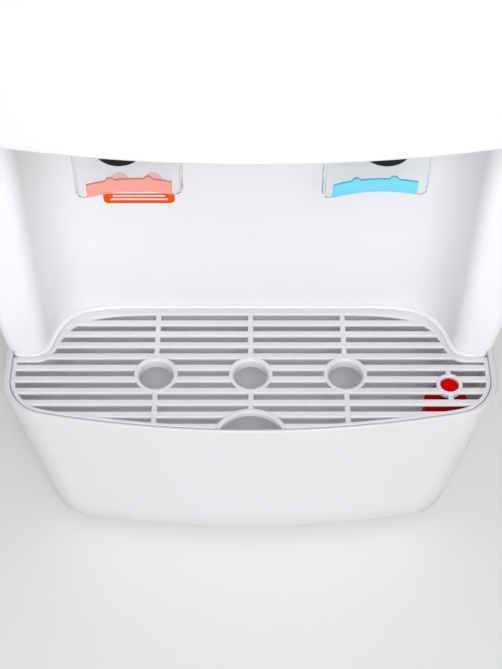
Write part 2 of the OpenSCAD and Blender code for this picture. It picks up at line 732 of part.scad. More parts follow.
module fan_frame() {
    motor_r = fan_hub_r - 2;
    color("dimgray") difference() {
        union() {
            difference() {
                box([0, fan_y + fan_t / 2, fan_z - sink_w / 2], [sink_w, fan_t, sink_w]);
                rod_y([0, fan_y - 1, fan_z], fan_bore_r, fan_t + 2);
            }
            for (a = [0, 90]) translate([0, fan_y + fan_t - 2.6, fan_z]) rotate([0, a, 0])
                translate([-fan_bore_r - 1, 0, -2]) cube([2 * fan_bore_r + 2, 2.6, 4]);
            rod_y([0, fan_y + fan_t - 3, fan_z], motor_r, 3);
            rod_y([0, fan_y + 3, fan_z], hub_bore_r, fan_t - 4.5);
        }
        for (x = [-1, 1], z = [-1, 1])
            rod_y([x * screw_x, fan_y - 1, fan_z + z * screw_x], 2.1, fan_t + 2);
    }
}
module fan_rotor() {
    color("dimgray") difference() {
        union() {
            rod_y([0, fan_y + 1, fan_z], fan_hub_r, fan_t - 5);
            for (a = [0:360 / 7:359]) translate([0, fan_y + 7.5, fan_z]) rotate([0, a, 0])
                rotate([35, 0, 0]) translate([fan_hub_r - 2, -0.8, -8])
                    cube([fan_bore_r - fan_hub_r - 1, 1.6, 16]);
        }
        rod_y([0, fan_y + 2.7, fan_z], hub_bore_r + run, fan_t);
    }
}
module hot_tank() {
    color("silver") translate([hot_x, hot_y, 0]) {
        translate([0, 0, hot_z]) cylinder(r = hot_r, h = hot_h);
        translate([0, -30, hot_z + hot_h - 1]) cylinder(r = inlet_r, h = 16);
        for (a = [60:120:300]) rotate(a) translate([35, 0, foot_h + plate_t]) cylinder(r = 4, h = hot_z - 10);
        rod_y([0, hot_r - 5, drain_z], inlet_r, 28);
        rod_y([0, -hot_r - 25, 45], inlet_r, 30);
    }
}
module hot_tank_jacket() {
    color("white") translate([hot_x, hot_y, hot_z + 28]) difference() {
        cylinder(r = jacket_r, h = hot_h - 28);
        translate([0, 0, -1]) cylinder(r = hot_r + 0.1, h = hot_h);
    }
}
module band_heater() {
    color("silver") translate([hot_x, hot_y, 0]) {
        difference() {
            translate([0, 0, hot_z + 21]) cylinder(r = hot_r + 3, h = 6.5);
            cylinder(r = hot_r + 0.05, h = body_h);
        }
        translate([hot_r + 2.5, -4, hot_z + 21]) cube([8, 8, 6.5]);
    }
}
module thermostats() {
    color("khaki") translate([hot_x, hot_y, hot_z + hot_h]) for (a = [20, 80])
        rotate(a) translate([20, 0, 0]) {
            cylinder(r = 8, h = 6);
            box([0, 0, 5], [14, 4, 8]);
        }
}
module cold_hose() hose(cold_route);
module hot_hose() hose(hot_route);
module feed_hose() hose(feed_route);
module drain_hose() hose(drain_route);
module drain_fitting() {
    color("white") difference() {
        union() {
            rod_y([hot_x, rear_y - 20, drain_z], inlet_r, 14);
            rod_y([hot_x, rear_y - 8, drain_z], drain_r + 4, 7.9 - rim_t);
            rod_y([hot_x, rear_y - 4, drain_z], drain_r, 8);
        }
        rod_y([hot_x, rear_y - 30, drain_z], 3, 60);
    }
}
module drain_cap() {
    color("white") difference() {
        rod_y([hot_x, rear_y + 0.3, drain_z], drain_r + 3, 7.7);
        rod_y([hot_x, rear_y - 1, drain_z], drain_r + run, 5.2);
    }
}

// Electrics
module power_board() {
    color("darkgreen") {
        translate([board_x - 1.6, 20, 60]) cube([1.6, 95, 130]);
        for (y = [27, 108], z = [67, 183]) rod_x([board_x - 0.5, y, z], 3, frame_x - frame_t - board_x + 0.5);
        translate([board_x - 33, 35, 80]) cube([32, 38, 34]);
        for (z = [130:22:174]) rod_x([board_x - 24, 50, z], 8, 23);
        translate([board_x - 15, 80, 130]) cube([14, 20, 26]);
    }
}
module power_inlet() {
    color("black") difference() {
        union() {
            box([power_x, rear_y + 1, power_z - 12], [36, 2, 24]);
            box([power_x, rear_y - 9, power_z - 10.2], [28.4, 20, 20.4]);
        }
        box([power_x, rear_y, power_z - 8], [24, 32, 16]);
    }
    color("silver") for (x = [-7, 0, 7]) box([power_x + x, rear_y - 9, power_z - 2], [2, 18, 4]);
    color("black") box([power_x, rear_y - 18, power_z - 9], [26, 3, 18]);
}
module switch_frame() {
    color("black") difference() {
        union() {
            box([switch_x, rear_y + 1, switch_z - 14], [52, 2, 28]);
            box([switch_x, rear_y - 8, switch_z - 10.8], [44.6, 18, 21.6]);
        }
        for (s = [-0.5, 0.5])
            box([switch_x + s * switch_pitch, rear_y, switch_z - 9.5], [16, 30, 19]);
    }
    color("black") for (s = [-0.5, 0.5])
        rod_x([switch_x + s * switch_pitch - 8.5, rear_y - 5, switch_z], 1, 17);
}
module rocker(s) {
    x = switch_x + s * switch_pitch;
    color("red") translate([0, rear_y - 5, switch_z]) rotate([-rocker_tilt, 0, 0]) difference() {
        slab_x(x - 7.6, 15.2)
            polygon([[-3, -3], [-3, 3], [4, 8.3], [6.5, 8], [5.4, 0], [6.5, -8], [4, -8.3]]);
        rod_x([x - 20, 0, 0], 1 + run, 40);
    }
}
module heater_switch() rocker(-0.5);
module cooler_switch() rocker(0.5);

base_housing();
base_plate();
rubber_feet();
dispensing_panel();
tap_deck();
head_cover();
left_side_panel();
right_side_panel();
rear_panel();
top_cover();
case_screws();
chassis_frame();
drip_tray();
drip_grille();
overflow_float();
warning_label();
hot_tap_body();
hot_gasket();
hot_nozzle();
hot_bonnet();
hot_valve_stem();
hot_valve_spring();
hot_lever();
hot_lever_strip();
hot_lever_pin();
cold_tap_body();
cold_gasket();
cold_nozzle();
cold_bonnet();
cold_valve_stem();
cold_valve_spring();
cold_lever();
cold_lever_strip();
cold_lever_pin();
indicator_lenses();
indicator_board();
bottle_seat();
bottle_probe();
cold_tank();
tank_insulation();
cold_block();
peltier_module();
heat_sink();
fan_frame();
fan_rotor();
hot_tank();
hot_tank_jacket();
band_heater();
thermostats();
cold_hose();
hot_hose();
feed_hose();
drain_hose();
drain_fitting();
drain_cap();
power_board();
power_inlet();
switch_frame();
heater_switch();
cooler_switch();
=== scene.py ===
"""Looks of the countertop water dispenser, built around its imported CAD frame. Shapes are in millimetres."""
import math

import bmesh
import bpy
from mathutils import Euler, Matrix, Vector


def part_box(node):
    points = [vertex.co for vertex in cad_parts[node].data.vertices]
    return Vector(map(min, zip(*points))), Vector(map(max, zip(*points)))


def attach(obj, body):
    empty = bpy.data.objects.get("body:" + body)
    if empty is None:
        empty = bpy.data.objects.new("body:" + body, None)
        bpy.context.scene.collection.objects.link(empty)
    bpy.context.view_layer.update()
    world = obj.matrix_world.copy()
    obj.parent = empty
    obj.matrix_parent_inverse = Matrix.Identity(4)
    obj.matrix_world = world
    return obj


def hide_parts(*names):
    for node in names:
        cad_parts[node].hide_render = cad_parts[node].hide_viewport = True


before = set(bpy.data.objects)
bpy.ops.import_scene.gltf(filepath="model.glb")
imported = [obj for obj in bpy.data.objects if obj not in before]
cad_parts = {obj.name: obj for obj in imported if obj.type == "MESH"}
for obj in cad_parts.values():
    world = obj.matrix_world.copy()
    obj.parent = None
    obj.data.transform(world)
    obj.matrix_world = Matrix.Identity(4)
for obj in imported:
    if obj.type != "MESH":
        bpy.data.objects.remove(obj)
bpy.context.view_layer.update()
MM = 0.001
WELD = 1e-6  # metres within which doubled points become one
NEAR = 0.01  # points this close to the middle line are not mirrored
MITRE = 0.3  # the least cosine at a corner, which limits how far a sharp corner moves


def low(node):
    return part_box(node)[0] / MM


def high(node):
    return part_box(node)[1] / MM


def middle(node):
    return (low(node) + high(node)) / 2


# ---------------------------------------------------------------- places, most of them from the frame
RIM_Z = 130.0
RIM_W = 300.0
FRONT_Y = -150.0
HEAD_Y = FRONT_Y + 1
SHOULDER_Y = FRONT_Y + 58.7
ALCOVE_Y = FRONT_Y + 97.2
SEAM_Y = SHOULDER_Y + 14
ROW_Y = FRONT_Y + 42.7
REAR_Y = high("right_side_panel").y
FOOT_H = low("base_housing").z
ROOF_Z = high("dispensing_panel").z
LID_Z = low("top_cover").z
LID_TOP = high("top_cover").z
TOP_Z = high("bottle_seat").z
TRAY_Z = low("drip_tray").z
TRAY_TOP = high("drip_tray").z
LEDGE_Z = low("dispensing_panel").z
TANK_Y = middle("bottle_seat").y
TAP_X = middle("cold_nozzle").x
TAP_Y = middle("cold_nozzle").y
NOZZLE_Z = low("cold_nozzle").z
PIVOT = middle("cold_lever_pin")
LEVER_Z = low("cold_lever").z
LEVER_TOP = ROOF_Z + 5

# the shell's form, as the CAD model has it
SIDE_SLOPE = 0.155
FLARE_H = 180.0
FRONT_SLOPE = 0.06
BOW_R = 640.0
CORNER_R = 28.0
REAR_R = 12.0
SIDE_R = 8.0
WALL = 2.8
RIM_T = 2.0
RIM_SIDE = 2.2
GAP = 0.5
SEAM_GAP = 0.15
SEAT_R = 104.0
BOW_STEPS = 28
CORNER_STEPS = 18
CHEEK_X = 134.1
CHEEK_R = 10.4
COVE_LEAN = 13.5
COVE_REACH = 27.8
COVE_FLAT = 72.0
COVE_PULL = 103.0

# the grille
TRAY_IN = RIM_T + GAP
COVE_IN = 3.1
TRAY_CORNER_R = 0.4
COVE_SLIT = 0.2
BORDER = 4.6
OPENING_BACK = 7.8
OPENING_STEP = 6.5
BAR_T = 2.4
RIB_W = 3.3
SLOT_W = 4.5
SLOT_PITCH = 8.73
SLOT_N = 10
FIRST_SLOT_Y = ROW_Y + 42.3
CUP_PITCH = 57.5
CUP_R = 13.2
CUP_HOLE_R = 10.3
CUP_DEEP = 6.6
RING_LAP = 0.6
NOTCH_Y = FRONT_Y - 6.4
NOTCH_R = 20.5
NOTCH_BAND = 2.8
FLOAT_X = 120.0
FLOAT_Y = FRONT_Y + 35
FLOAT_RING_R = 7.9
FLOAT_HOLE_R = 5.6
FLOAT_LAP = 0.4
LEAST_SLOT = 1.2
SLOT_CORNER = 0.9
DECK_EDGE = 0.7
PROUD = 0.25

# the levers
LEVER_R = 74.0
LEVER_W = 56.0
LEVER_TURN = math.radians(3.2)
LEVER_T = 3.0
LEVER_Y = FRONT_Y + 55.9
LEG_X = 15.0
STRIP_Z = RIM_Z + 144.5
STRIP_W = 44.8
STRIP_H = 9.0
STRIP_T = 1.6
BUMP_X = 10.0
BUMP_R = 2.4
BUMP_SINK = 0.4


# ---------------------------------------------------------------- plan curves, along +X at the front
def point(angle, radius=1.0):
    return Vector((radius * math.cos(math.radians(angle)), radius * math.sin(math.radians(angle))))


def arc(centre, radius, start, end, steps, first=0):
    """Points on a circle from one angle to another, in degrees, from the given first step on."""
    turn = end - start
    return [Vector(centre) + point(start + turn * i / steps, radius) for i in range(first, steps + 1)]


def bezier(a, b, c, d, steps):
    a, b, c, d = Vector(a), Vector(b), Vector(c), Vector(d)
    path = []
    for i in range(steps + 1):
        t = i / steps
        s = 1 - t
        path.append(s**3 * a + 3 * s * s * t * b + 3 * s * t * t * c + t**3 * d)
    return path


def mirrored(path):
    return [Vector((-p.x, p.y)) for p in reversed(path) if p.x > NEAR]


def both(path):
    """An open path from the left side to the right, from its right half."""
    return mirrored(path) + list(path)


def closed(path):
    """A closed path from its right half."""
    return list(path) + mirrored(path)


def moved(path, distance, cyclic=False):
    """The path moved to its left, with mitred corners."""
    count = len(path)
    result = []
    for i, b in enumerate(path):
        a = path[i - 1] if i or cyclic else 2 * path[0] - path[1]
        c = path[(i + 1) % count] if i < count - 1 or cyclic else 2 * b - path[i - 1]
        u, v = (b - a).normalized(), (c - b).normalized()
        m = (u + v).normalized()
        result.append(b + distance / max(m.dot(v), MITRE) * Vector((-m.y, m.x)))
    return result


def band(path, near, far):
    """A closed band between two distances to the left of a path, from its right half."""
    return both(moved(path, near)) + list(reversed(both(moved(path, far))))


def half_w(z):
    """Half of the shell's width: it grows evenly up to the rim, then flares less and less."""
    if z < RIM_Z:
        return RIM_W / 2 + SIDE_SLOPE * (z - RIM_Z)
    u = min(z - RIM_Z, FLARE_H)
    return RIM_W / 2 + SIDE_SLOPE * (u - u * u / (2 * FLARE_H))


def bow_y(z):
    """The depth of the front's middle, which leans back below the rim."""
    return FRONT_Y + FRONT_SLOPE * max(RIM_Z - z, 0)


def bow(w, y, t):
    """Half of the bow front from the middle to the side, with its rounded corner, inset by t."""
    centre = Vector((0, y + BOW_R))
    drop = math.sqrt((BOW_R - CORNER_R) ** 2 - (w - CORNER_R) ** 2)
    knee = Vector((w - CORNER_R, centre.y - drop))
    turn = math.degrees(math.atan2(knee.y - centre.y, knee.x))
    return arc(centre, BOW_R - t, -90, turn, BOW_STEPS) + arc(knee, CORNER_R - t, turn, 0, CORNER_STEPS, 1)


def rear_corner(w, t):
    return arc((w - REAR_R, REAR_Y - REAR_R), REAR_R - t, 0, 90, 10)


def outline(z, t):
    """The shell's plan at height z, inset by t."""
    return closed(bow(half_w(z), bow_y(z), t) + rear_corner(half_w(z), t))


def inside(z, t):
    """The housing's inner outline: the rim is thicker at its sides."""
    w = half_w(z) - RIM_SIDE
    return closed(bow(w, bow_y(z), t) + rear_corner(w, t))


def lid_outline(t):
    return closed(bow(half_w(LID_Z), HEAD_Y, t) + rear_corner(half_w(LID_Z), t))


def cove():
    """Half of the alcove's wall: the flat back, the large corner and the front end of the cheek."""
    f = Vector((CHEEK_X, SHOULDER_Y + CHEEK_R))
    p = f + point(180 + COVE_LEAN, CHEEK_R)
    q = p + point(90 + COVE_LEAN, COVE_REACH)
    wall = [Vector((x, ALCOVE_Y)) for x in (0, 24, 48)]
    bend = bezier((COVE_FLAT, ALCOVE_Y), (COVE_PULL, ALCOVE_Y), q, p, 32)
    return wall + bend + arc(f, CHEEK_R, 180 + COVE_LEAN, 270, 12, 1)


def panel_half(z, t, r):
    """The alcove's wall and the shoulder round to the seam, with a corner of radius r."""
    w = half_w(z) - t
    return cove() + arc((w - r, SHOULDER_Y + r), r, 270, 360, 10) + [Vector((w, SEAM_Y - SEAM_GAP))]


def head_half(z, t):
    return bow(half_w(z), HEAD_Y, t) + [Vector((half_w(z) - t, SEAM_Y - SEAM_GAP))]


def side_path(z):
    """A side panel's plan from the seam to its end on the back."""
    w = half_w(z)
    start = [Vector((w, SEAM_Y + SEAM_GAP + 20 * i)) for i in range(10)]
    return start + rear_corner(w, 0) + [Vector((w - REAR_R - 6, REAR_Y))]


def tray_half(z, t, e):
    """Half of the tray's plan, t in from the bow front and its sides, and e in front of the alcove's wall."""
    w = half_w(z) - RIM_SIDE
    y = SHOULDER_Y - e
    r = TRAY_CORNER_R
    corner = arc((w - t - r, y - r), r, 0, 90, 4)
    return bow(w, bow_y(z), t) + corner + list(reversed(moved(cove(), -e)))


def tray_outline(z, t, e):
    return closed(tray_half(z, t, e))


def opening():
    """Half of the edge that the grille's frame leaves free for the bars, from the front to the back."""
    w, y, back = RIM_W / 2, SHOULDER_Y - OPENING_STEP, ALCOVE_Y - OPENING_BACK
    knee = Vector((w - 30.5, SHOULDER_Y + 3.4))
    foot = bezier(knee, knee + Vector((2.1, -5.6)), (w - 25, y), (w - 19, y), 12)
    flank = bezier((w - 90, back), (w - 40, back), knee + Vector((-6.5, 16.8)), knee, 24)
    front = bow(w - RIM_SIDE - 0.7, FRONT_Y, BORDER)
    return front + [Vector((w - BORDER - 2.9, y))] + foot[::-1] + flank[::-1] + [Vector((0, back))]


def steps(start, end, count):
    return [start + (end - start) * i / count for i in range(count + 1)]


def ring(path, z):
    return [Vector((p.x, p.y, z)) for p in path]


# ---------------------------------------------------------------- mesh builders
def make_piece(name, verts, faces, sharp=32.0):
    """A closed mesh object from points in millimetres, smooth except at edges sharper than the angle."""
    mesh = bpy.data.meshes.new(name)
    mesh.from_pydata([Vector(v) * MM for v in verts], [], faces)
    build = bmesh.new()
    build.from_mesh(mesh)
    bmesh.ops.remove_doubles(build, verts=build.verts, dist=WELD)
    bmesh.ops.recalc_face_normals(build, faces=build.faces)
    build.to_mesh(mesh)
    build.free()
    mesh.shade_smooth()
    mesh.set_sharp_from_angle(angle=math.radians(sharp))
    piece = bpy.data.objects.new(name, mesh)
    bpy.context.scene.collection.objects.link(piece)
    return piece


def skin(count, rings, wrap=False):
    """Quads between rings of equal count, which join the last ring to the first when wrapped."""
    faces = []
    for k in range(rings if wrap else rings - 1):
        for i in range(count):
            a, b = k * count + i, k * count + (i + 1) % count
            c, d = (k + 1) % rings * count + (i + 1) % count, (k + 1) % rings * count + i
            faces.append((a, b, c, d))
    return faces


def loft(rings, caps="flat"):
    """Points and faces through closed rings: capped flat, by strips across a band, looped or left open."""
    count = len(rings[0])
    verts = [p for r in rings for p in r]
    faces = skin(count, len(rings), caps == "loop")
    last = (len(rings) - 1) * count
    if caps == "flat":
        faces.append(tuple(reversed(range(count))))
        faces.append(tuple(range(last, last + count)))
    if caps == "strip":
        for i in range(count // 2 - 1):
            quad = (i, count - 1 - i, count - 2 - i, i + 1)
            faces.append(quad)
            faces.append(tuple(last + v for v in reversed(quad)))
    return verts, faces


def lathe(profile, centre, segments=96):
    """Points and faces of a closed profile of (radius, height) turned about an upright line."""
    verts, faces = [], []
    for i in range(segments):
        c, s = math.cos(math.tau * i / segments), math.sin(math.tau * i / segments)
        for r, h in profile:
            verts.append(Vector((r * c, r * s, h)) + Vector(centre))
    n = len(profile)
    for i in range(segments):
        for k in range(n):
            a, b = i * n + k, i * n + (k + 1) % n
            c, d = (i + 1) % segments * n + (k + 1) % n, (i + 1) % segments * n + k
            faces.append((a, b, c, d))
    return verts, faces


def rounded(points, radii, arc_steps=5):
    """A closed outline with its corners turned into arcs, by one radius for all or one for each."""
    count = len(points)
    radii = radii if isinstance(radii, (list, tuple)) else [radii] * count
    path = []
    for i in range(count):
        b = Vector(points[i])
        a, c = Vector(points[i - 1]) - b, Vector(points[(i + 1) % count]) - b
        room = 0.49 * min(a.length, c.length)
        a, c = a.normalized(), c.normalized()
        angle = math.acos(max(-1.0, min(1.0, a.dot(c))))
        if radii[i] <= 0 or angle < 0.02 or angle > math.pi - 0.02:
            path.append(b)
            continue
        cut = min(radii[i] / math.tan(angle / 2), room)
        start, end = b + a * cut, b + c * cut
        for k in range(arc_steps + 1):
            t = k / arc_steps
            path.append((1 - t) ** 2 * start + 2 * t * (1 - t) * b + t * t * end)
    return path


def join_parts(parts):
    """The points and faces of several parts as those of one mesh."""
    verts, faces = [], []
    for v, f in parts:
        faces += [tuple(i + len(verts) for i in face) for face in f]
        verts += v
    return verts, faces


def cut_plate(outer, holes, z0, z1, edge):
    """Points and faces of a flat plate with holes and rounded edges, from the contours of its flat top."""
    curve = bpy.data.curves.new("cut", "CURVE")
    curve.dimensions = "2D"
    curve.fill_mode = "BOTH"
    for contour in [outer] + [hole[::-1] for hole in holes]:
        spline = curve.splines.new("POLY")
        spline.points.add(len(contour) - 1)
        for knot, p in zip(spline.points, contour):
            knot.co = (p.x, p.y, 0, 1)
        spline.use_cyclic_u = True
    curve.extrude = (z1 - z0) / 2 - edge
    curve.bevel_depth = edge
    curve.bevel_resolution = 2
    temp = bpy.data.objects.new("cut", curve)
    bpy.context.scene.collection.objects.link(temp)
    bpy.context.view_layer.update()
    mesh = bpy.data.meshes.new_from_object(temp.evaluated_get(bpy.context.evaluated_depsgraph_get()))
    verts = [v.co + Vector((0, 0, (z0 + z1) / 2)) for v in mesh.vertices]
    faces = [tuple(p.vertices) for p in mesh.polygons]
    bpy.data.objects.remove(temp)
    bpy.data.curves.remove(curve)
    bpy.data.meshes.remove(mesh)
    return verts, faces


# ---------------------------------------------------------------- materials
def new_material(name, colour, rough, **sockets):
    material = bpy.data.materials.new(name)
    material.use_nodes = True
    shader = material.node_tree.nodes["Principled BSDF"]
    shader.inputs["Base Color"].default_value = (*colour, 1)
    shader.inputs["Roughness"].default_value = rough
    for socket, value in sockets.items():
        shader.inputs[socket.replace("_", " ")].default_value = value
    return material, material.node_tree, shader


def noise(tree, scale, detail, stretch):
    places = tree.nodes.new("ShaderNodeTexCoord")
    mapping = tree.nodes.new("ShaderNodeMapping")
    mapping.inputs["Scale"].default_value = stretch
    texture = tree.nodes.new("ShaderNodeTexNoise")
    texture.inputs["Scale"].default_value = scale
    texture.inputs["Detail"].default_value = detail
    tree.links.new(places.outputs["Object"], mapping.inputs["Vector"])
    tree.links.new(mapping.outputs["Vector"], texture.inputs["Vector"])
    return texture


def add_bump(tree, shader, scale, height, stretch=(1, 1, 1)):
    """A fine unevenness of the surface, its height in metres."""
    texture = noise(tree, scale, 2.0, stretch)
    bump = tree.nodes.new("ShaderNodeBump")
    bump.inputs["Distance"].default_value = height
    bump.inputs["Strength"].default_value = 1.0
    tree.links.new(texture.outputs["Fac"], bump.inputs["Height"])
    tree.links.new(bump.outputs["Normal"], shader.inputs["Normal"])


def vary(tree, shader, socket, scale, low_value, high_value, stretch=(1, 1, 1)):
    """Drives a colour or a number between two values by a soft noise."""
    texture = noise(tree, scale, 3.0, stretch)
    ramp = tree.nodes.new("ShaderNodeValToRGB")
    for element, value in zip(ramp.color_ramp.elements, (low_value, high_value)):
        element.color = (*value, 1) if isinstance(value, tuple) else (value, value, value, 1)
    ramp.color_ramp.elements[0].position = 0.35
    ramp.color_ramp.elements[1].position = 0.65
    tree.links.new(texture.outputs["Fac"], ramp.inputs["Fac"])
    tree.links.new(ramp.outputs["Color"], shader.inputs[socket])


def plastic(name, colour, rough, coat=0.0, texture_scale=900, height=0.000012, shift=0.97, shine=0.5):
    """Moulded plastic: a fine grain, uneven gloss and a very slight unevenness of colour."""
    material, tree, shader = new_material(
        name, colour, rough, Coat_Weight=coat, Coat_Roughness=0.08, Specular_IOR_Level=shine)
    vary(tree, shader, "Base Color", 14, tuple(c * shift for c in colour), colour)
    vary(tree, shader, "Roughness", 30, rough * 0.96, rough * 1.04)
    add_bump(tree, shader, texture_scale, height)
    return material


def metal(name, colour, rough, stretch=(1, 1, 1)):
    material, tree, shader = new_material(name, colour, rough, Metallic=1.0)
    vary(tree, shader, "Roughness", 60, rough * 0.7, rough * 1.3, stretch)
    add_bump(tree, shader, 700, 0.00001, stretch)
    return material


def clear_plastic(name):
    material, tree, shader = new_material(
        name, (0.975, 0.985, 1.0), 0.03, Transmission_Weight=1.0, IOR=1.2)
    vary(tree, shader, "Roughness", 40, 0.02, 0.05)
    add_bump(tree, shader, 120, 0.000008)
    return material


WHITE = plastic(
    "white_gloss", (0.845, 0.853, 0.872), 0.24, coat=0.35, texture_scale=260, height=0.000004, shift=0.995)
GRILLE = plastic("grille_white", (0.745, 0.752, 0.775), 0.34, coat=0.15, texture_scale=400)
TRAY = plastic("tray_grey", (0.74, 0.75, 0.77), 0.5, texture_scale=1200, height=0.00002)
# The base housing's plastic is a darker copy of the white gloss plastic: a painted shade that dims the base's
# front below what its lighting gives.
BASE_PAINTED_SHADE = plastic(
    "white_base_painted_shade", (0.712, 0.719, 0.734), 0.3, coat=0.1, texture_scale=260, height=0.000002, shift=0.995)
RED = plastic("float_red", (0.64, 0.0, 0.0), 0.35, shine=0.02)
IVORY = plastic("ivory_plastic", (0.75, 0.73, 0.66), 0.4)
BLACK = plastic("black_plastic", (0.008, 0.008, 0.009), 0.3, shine=0.12)
HOT = plastic("hot_strip", (0.95, 0.36, 0.3), 0.3, shine=0.3)
COLD = plastic("cold_strip", (0.18, 0.68, 0.9), 0.3, shine=0.3)
CLEAR = clear_plastic("clear_plastic")
RUBBER = plastic("rubber_dark", (0.03, 0.03, 0.032), 0.75, texture_scale=1500, height=0.00005)
SILICONE = plastic("silicone", (0.6, 0.61, 0.62), 0.55)
STEEL = metal("steel", (0.62, 0.63, 0.65), 0.28, (1, 1, 12))
ALUMINIUM = metal("aluminium", (0.75, 0.76, 0.78), 0.35, (12, 1, 1))
GALVANISED = metal("galvanised", (0.55, 0.57, 0.6), 0.45)
FOAM = plastic("foam", (0.85, 0.85, 0.82), 0.85, texture_scale=260, height=0.0004, shift=0.93)
CERAMIC = plastic("ceramic", (0.85, 0.85, 0.82), 0.5)
BOARD = plastic("board_green", (0.01, 0.11, 0.04), 0.4, coat=0.2)
AMBER = plastic("amber_plastic", (0.35, 0.18, 0.05), 0.35)
LENS = plastic("lens", (0.62, 0.8, 0.66), 0.15, coat=0.6)
SWITCH_RED = plastic("switch_red", (0.6, 0.01, 0.008), 0.25, coat=0.3)
HOSE = plastic("hose", (0.75, 0.77, 0.78), 0.35)
ORANGE = plastic("label_orange", (0.92, 0.09, 0.003), 0.6, shine=0.1)
PAPER = plastic("label_white", (0.88, 0.88, 0.885), 0.4)
PINK = plastic("label_pink", (0.9, 0.55, 0.58), 0.4)

CAD_MATERIALS = {
    WHITE: ["tap_deck", "rear_panel", "base_plate", "bottle_probe"],
    RUBBER: ["rubber_feet"],
    STEEL: ["case_screws", "cold_tank", "hot_tank", "band_heater", "hot_lever_pin", "cold_lever_pin",
            "hot_valve_spring", "cold_valve_spring"],
    GALVANISED: ["chassis_frame"],
    IVORY: ["hot_tap_body", "cold_tap_body", "hot_bonnet", "cold_bonnet", "drain_fitting", "drain_cap"],
    SILICONE: ["hot_gasket", "cold_gasket", "hot_valve_stem", "cold_valve_stem"],
    FOAM: ["tank_insulation", "hot_tank_jacket"],
    ALUMINIUM: ["cold_block", "heat_sink"],
    CERAMIC: ["peltier_module"],
    BLACK: ["fan_frame", "fan_rotor", "power_inlet", "switch_frame"],
    AMBER: ["thermostats"],
    HOSE: ["cold_hose", "hot_hose", "feed_hose", "drain_hose"],
    BOARD: ["power_board", "indicator_board"],
    SWITCH_RED: ["heater_switch", "cooler_switch"],
    LENS: ["indicator_lenses"],
}
BEVELS = {"rear_panel": 0.4, "base_plate": 0.4, "chassis_frame": 0.3, "drain_cap": 0.8, "power_inlet": 0.3,
          "switch_frame": 0.5, "heater_switch": 0.8, "cooler_switch": 0.8, "rubber_feet": 0.6,
          "fan_frame": 0.5, "tap_deck": 0.4, "case_screws": 0.4, "bottle_probe": 0.3}


def dress(node, material):
    """Gives a carried-over CAD node its material and, where it has hard outer edges, a small bevel."""
    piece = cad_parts[node]
    piece.data.materials.clear()
    piece.data.materials.append(material)
    if node in BEVELS:
        bevel = piece.modifiers.new("edges", "BEVEL")
        bevel.width = BEVELS[node] * MM
        bevel.segments = 2
        bevel.limit_method = "ANGLE"
        bevel.angle_limit = math.radians(50)
        bevel.harden_normals = True


def finish_piece(piece, material, body, slot, *replaced):
    """Gives a piece its material and body, and hides the CAD nodes that it stands for. The slot is not used.
    """
    piece.data.materials.append(material)
    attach(piece, body)
    if replaced:
        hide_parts(*replaced)
    return piece


# ---------------------------------------------------------------- the shell
def turned_edge(inset, top, radius, start):
    """Heights and insets of a quarter round under a level top: outside from 180 degrees, inside from 90."""
    return [(p.y, p.x) for p in arc((inset, top - radius), radius, start, start - 90, 6)]


def base_housing():
    outer = [(FOOT_H, 1.5), (FOOT_H + 0.4, 0.5)] + [(z, 0) for z in steps(FOOT_H + 1.5, RIM_Z - 2.4, 6)]
    outer += turned_edge(1.1, RIM_Z, 1.1, 180)
    inner = turned_edge(RIM_T - 0.7, RIM_Z, 0.7, 90)
    inner += [(LEDGE_Z + 1, RIM_T), (LEDGE_Z, RIM_T + 0.6), (LEDGE_Z, RIM_T + 8),
              (LEDGE_Z - 3, RIM_T + 8), (LEDGE_Z - 3, RIM_T), (FOOT_H, RIM_T)]
    rings = [ring(outline(z, t), z) for z, t in outer] + [ring(inside(z, t), z) for z, t in inner]
    piece = make_piece("base_housing_shell", *loft(rings, "loop"))
    # The base gets the darker copy of the white plastic, a painted shade on its front.
    return finish_piece(piece, BASE_PAINTED_SHADE, "dispenser", "white_gloss", "base_housing")


def dispensing_panel():
    lip = COVE_IN - GAP
    inset = RIM_SIDE + RIM_T + 0.04 + lip
    low_r = 2.2
    bead = [(LEDGE_Z, 0)] + turned_edge(1.3, RIM_Z, 1.3, 180)
    rings = [ring(band(panel_half(z, inset, low_r), -lip + t, low_r - 0.2), z) for z, t in bead]
    foot = [(RIM_Z + 0.02, 0.8), (RIM_Z + 0.3, 0.4), (RIM_Z + 0.8, 0.1), (RIM_Z + 1.4, 0)]
    rings += [ring(band(panel_half(z, 0, SIDE_R), t, WALL), z) for z, t in foot]
    rings += [ring(band(panel_half(z, 0, SIDE_R), 0, WALL), z) for z in steps(RIM_Z + 5, ROOF_Z, 28)]
    piece = make_piece("dispensing_panel_shell", *loft(rings, "strip"), sharp=40)
    return finish_piece(piece, WHITE, "dispenser", "white_gloss", "dispensing_panel")


def head_cover():
    rows = [(ROOF_Z, 2.0), (ROOF_Z + 0.25, 1.2), (ROOF_Z + 0.8, 0.5), (ROOF_Z + 1.6, 0.12), (ROOF_Z + 2.4, 0)]
    rows += [(z, 0) for z in steps(ROOF_Z + 8, LID_Z - 2, 14)]
    rows += [(LID_Z - 0.8, 0.2), (LID_Z - 0.2, 0.8)]
    rings = []
    for z, t in rows:
        rings.append(ring(both(head_half(z, t)) + list(reversed(both(head_half(z, WALL)))), z))
    piece = make_piece("head_cover_shell", *loft(rings, "strip"))
    return finish_piece(piece, WHITE, "dispenser", "white_gloss", "head_cover")


def side_panel(side):
    rows = [(RIM_Z + 0.1, 0.6), (RIM_Z + 0.7, 0.1)] + [(z, 0) for z in steps(RIM_Z + 2, LID_Z - 1, 34)]
    rows += [(LID_Z - 0.2, 0.6)]
    rings = []
    for z, t in rows:
        path = side_path(z)
        points = moved(path, t) + list(reversed(moved(path, WALL)))
        rings.append([Vector((p.x * side, p.y, z)) for p in points])
    name = "right_side_panel" if side > 0 else "left_side_panel"
    piece = make_piece(name + "_shell", *loft(rings, "strip"))
    return finish_piece(piece, WHITE, "dispenser", "white_gloss", name)


